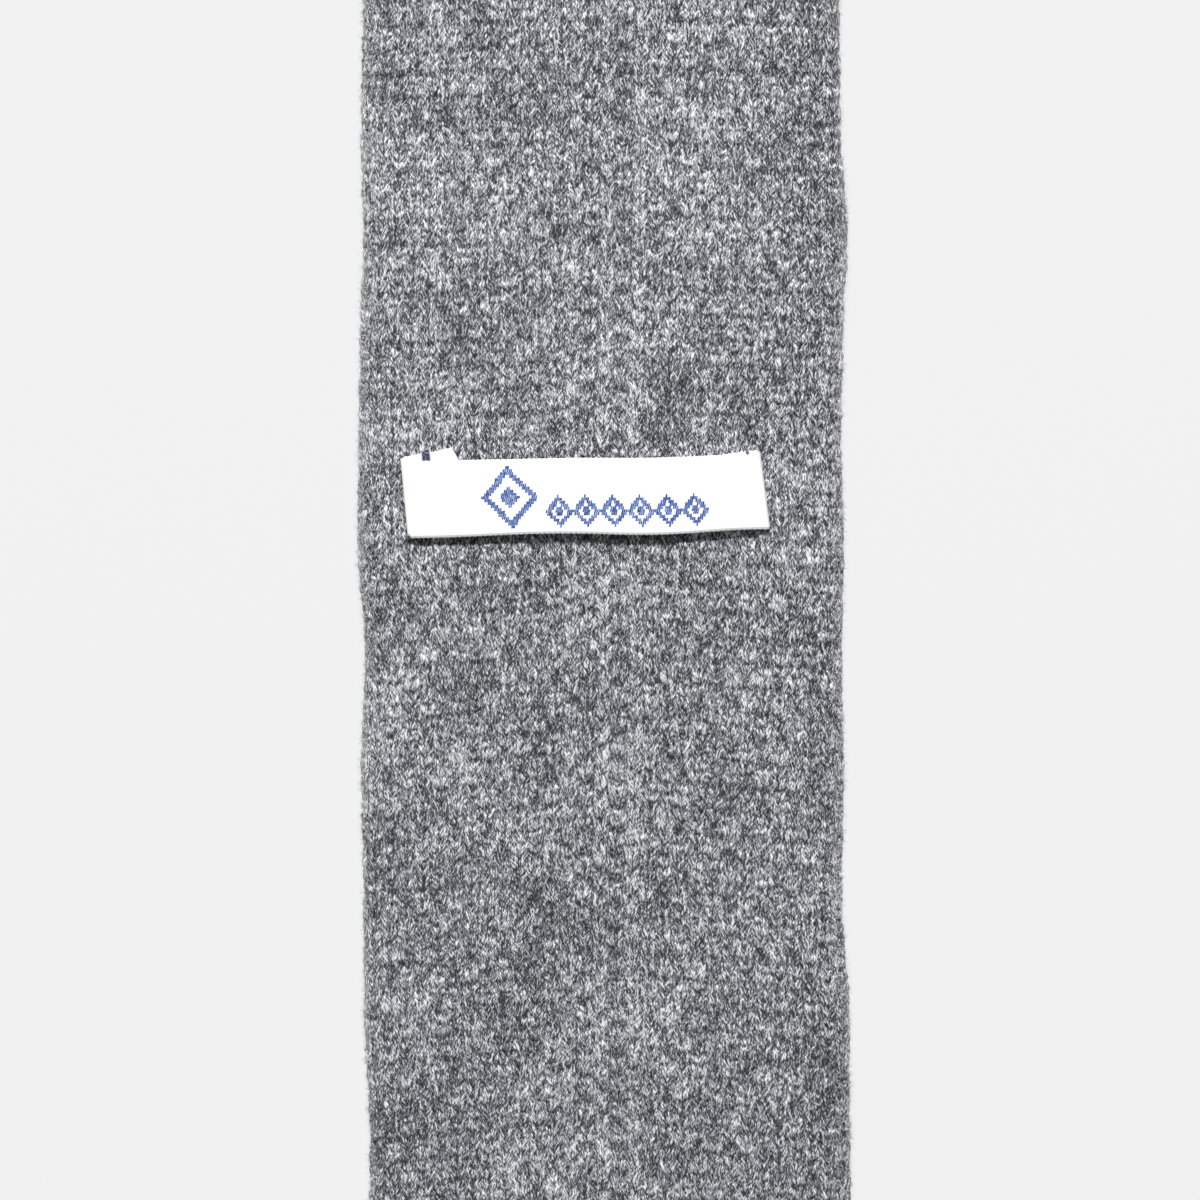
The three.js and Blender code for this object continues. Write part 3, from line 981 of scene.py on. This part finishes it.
def make_floats(material):
    """Raised blue floats in the weave's grid, wherever the ornament has one."""
    rng = np.random.default_rng(SEED_FLOATS)
    corners = np.array([[-0.5, -0.5, 0.0], [0.5, -0.5, 0.0], [0.5, 0.5, 0.0], [-0.5, 0.5, 0.0]])
    shape = np.concatenate([corners, corners * 0.7 + [0.0, 0.0, 1.0]]) * FLOAT_SIZE
    shape[:, 0] += FLOAT_SLANT * shape[:, 1]
    faces = [[0, 2, 1], [0, 3, 2], [4, 5, 6], [4, 6, 7]]
    for i in range(4):
        j = (i + 1) % 4
        faces += [[i, j, 4 + j], [i, 4 + j, 4 + i]]
    line = ribbon_line()
    top = line[np.abs(line[:, 2] - math.pi / 2) < 0.01][::-1]
    points, shades, triangles = [], [], []
    half_rows = int(KEEPER_WIDTH / MM / FLOAT_PITCH[1] / 2)
    half_steps = int(KEEPER_LENGTH / MM / FLOAT_PITCH[0] / 2)
    for row in range(-half_rows, half_rows + 1):
        for step in range(-half_steps, half_steps + 1):
            x = (step + 0.5 * (row % 2)) * FLOAT_PITCH[0]
            y = row * FLOAT_PITCH[1]
            if in_ornament(x, y):
                float_points = (shape * rng.uniform(0.85, 1.15, 3) + [x, y, 0.0]) * MM
                float_points[:, 1] += keeper_bend(float_points[:, 0])
                under = np.interp(float_points[:, 0], top[:, 0], top[:, 1]) + RIBBON_WALL / 2
                triangles.append(np.array(faces) + 8 * len(points))
                points.append(keeper_place(*float_points[:, :2].T, under + float_points[:, 2]))
                shades.append(np.full(8, rng.uniform(0.1, 0.9)))
    piece = new_object("ribbon_floats", np.concatenate(points), np.concatenate(triangles), material)
    add_attribute(piece, "shade", np.concatenate(shades))
    piece.data.polygons.foreach_set("use_smooth", np.zeros(len(piece.data.polygons), dtype=bool))
    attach(piece, "root")
    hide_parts("ribbon_keeper")
    return piece


# Loose fibres of the nap: how many stand out of the edges and out of the back, in the stretch that
# the camera sees, and their sizes
EDGE_FIBRES = 12000
BACK_FIBRES = 34000
FIBRE_THICKNESS = (0.05 * MM, 0.11 * MM)
FIBRE_LENGTH = (0.5 * MM, 1.1 * MM)
FIBRE_ROOT = 0.08 * MM
# The columns beside a fold that its fibres stand in
EDGE_BAND = (-1.0, 1.1)
# How a fibre's heading spreads about up and down the tie, and how far it leans over
FIBRE_SPREAD = 0.8
EDGE_LEAN = (0.4, 1.6)
BACK_LEAN = (3.0, 9.0)
# The fibres' shades: those at the edges are painted light, as if lit from behind, and those on the back
# keep their own tone
EDGE_PAINTED_LIGHT_SHADES = (0.8, 1.1)
BACK_SHADES = (0.1, 1.15)


def make_nap(material):
    """Loose fibres, each a closed three-sided strand that tapers to a point."""
    rng = np.random.default_rng(SEED_NAP)
    count = EDGE_FIBRES + BACK_FIBRES
    at_edge = np.arange(count) < EDGE_FIBRES
    stitches = rng.uniform(PHOTO_START + 1.0, PHOTO_END - 1.0, count)
    edge_columns = FOLD_COLUMN + rng.uniform(*EDGE_BAND, count)
    columns = np.where(at_edge, edge_columns, rng.uniform(0.0, FOLD_COLUMN - 0.5, count))
    columns *= np.where(rng.random(count) < 0.5, -1.0, 1.0)
    rows = TubeRows(stitches, columns[:, None])
    roots = rows.knitted()[0][:, 0]
    ways = rows.surface(0.0)[1][:, 0]

    # A fibre leans over from the way out towards a way of its own along the surface
    length = rng.uniform(*FIBRE_LENGTH, count)[:, None]
    angle = rng.normal(0.0, FIBRE_SPREAD, count) + np.where(rng.random(count) < 0.5, 0.0, math.pi)
    along = np.stack([np.sin(angle), np.cos(angle), np.zeros(count)], axis=1)
    lean = np.where(at_edge, rng.uniform(*EDGE_LEAN, count), rng.uniform(*BACK_LEAN, count))
    heading = ways + along * lean[:, None]
    heading /= np.linalg.norm(heading, axis=1, keepdims=True)
    start = roots - ways * FIBRE_ROOT
    radius = rng.uniform(*FIBRE_THICKNESS, count)[:, None] / 2
    side = np.cross(heading, [0.3, 0.5, 0.8])
    side /= np.linalg.norm(side, axis=1, keepdims=True)
    other = np.cross(heading, side)
    turns = [2 * math.pi * corner / 3 for corner in range(3)]
    foot = [start + radius * (side * math.cos(turn) + other * math.sin(turn)) for turn in turns]
    points = np.stack([*foot, start + heading * length], axis=1).reshape(-1, 3)
    points[:, 2] = np.maximum(points[:, 2], 0.0)
    faces = [[0, 2, 1], [0, 1, 3], [1, 2, 3], [2, 0, 3]]
    triangles = (np.array(faces) + 4 * np.arange(count)[:, None, None]).reshape(-1, 3)
    piece = new_object("nap", points, triangles, material)
    # Fibres at the edges get painted light in their shades
    shades = np.where(at_edge, rng.uniform(*EDGE_PAINTED_LIGHT_SHADES, count), rng.uniform(*BACK_SHADES, count))
    add_attribute(piece, "shade", np.repeat(shades, 4))
    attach(piece, "root")
    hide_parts("knit_tube")
    return piece


def make_tie():
    knit = knit_material()
    near = np.linspace(PHOTO_START, PHOTO_END, PHOTO_PIECES + 1)
    near = np.round(near * FINE_ROWS) / FINE_ROWS
    far = np.linspace(PHOTO_END, STITCHES_ALONG, FAR_PIECES + 1)
    far = np.round(far * COARSE_ROWS) / COARSE_ROWS
    cuts = [(TIP_FIRST, PHOTO_START, False)]
    cuts += [(first, last, True) for first, last in zip(near[:-1], near[1:])]
    cuts += [(first, last, False) for first, last in zip(far[:-1], far[1:])]
    nap = make_nap(nap_material())
    for number, (first, last, fine) in enumerate(cuts):
        piece, round_width, length = knit_piece(f"knit_{number:02d}", first, last, fine, knit)
    ribbon, ribbon_length = make_ribbon(ribbon_material())
    floats = make_floats(float_material())


def make_studio():
    """A pale table, an even pale sky, and one broad soft lamp from the photograph's upper side."""
    bpy.ops.mesh.primitive_plane_add(size=TABLE_SIZE, location=(0.0, 0.0, -0.02 * MM))
    table = bpy.context.object
    table.name = "table"
    table.data.materials.append(table_material())
    sky = bpy.data.worlds.new("sky")
    sky.use_nodes = True
    sky.node_tree.nodes["Background"].inputs["Color"].default_value = (1.0, 1.0, 1.0, 1.0)
    sky.node_tree.nodes["Background"].inputs["Strength"].default_value = SKY_STRENGTH
    bpy.context.scene.world = sky
    data = bpy.data.lights.new("lamp", "AREA")
    data.size = LAMP_SIZE
    data.energy = LAMP_POWER
    lamp = bpy.data.objects.new("lamp", data)
    aim = Vector((STRAIGHT_X, TIP_Y + PHOTO_MIDDLE, 0.0))
    lamp.location = aim + Vector(LAMP_PLACE)
    lamp.rotation_euler = (aim - lamp.location).to_track_quat("-Z", "Y").to_euler()
    bpy.context.scene.collection.objects.link(lamp)


make_camera()
make_studio()
make_tie()
scene = bpy.context.scene
scene.view_settings.view_transform = "Standard"
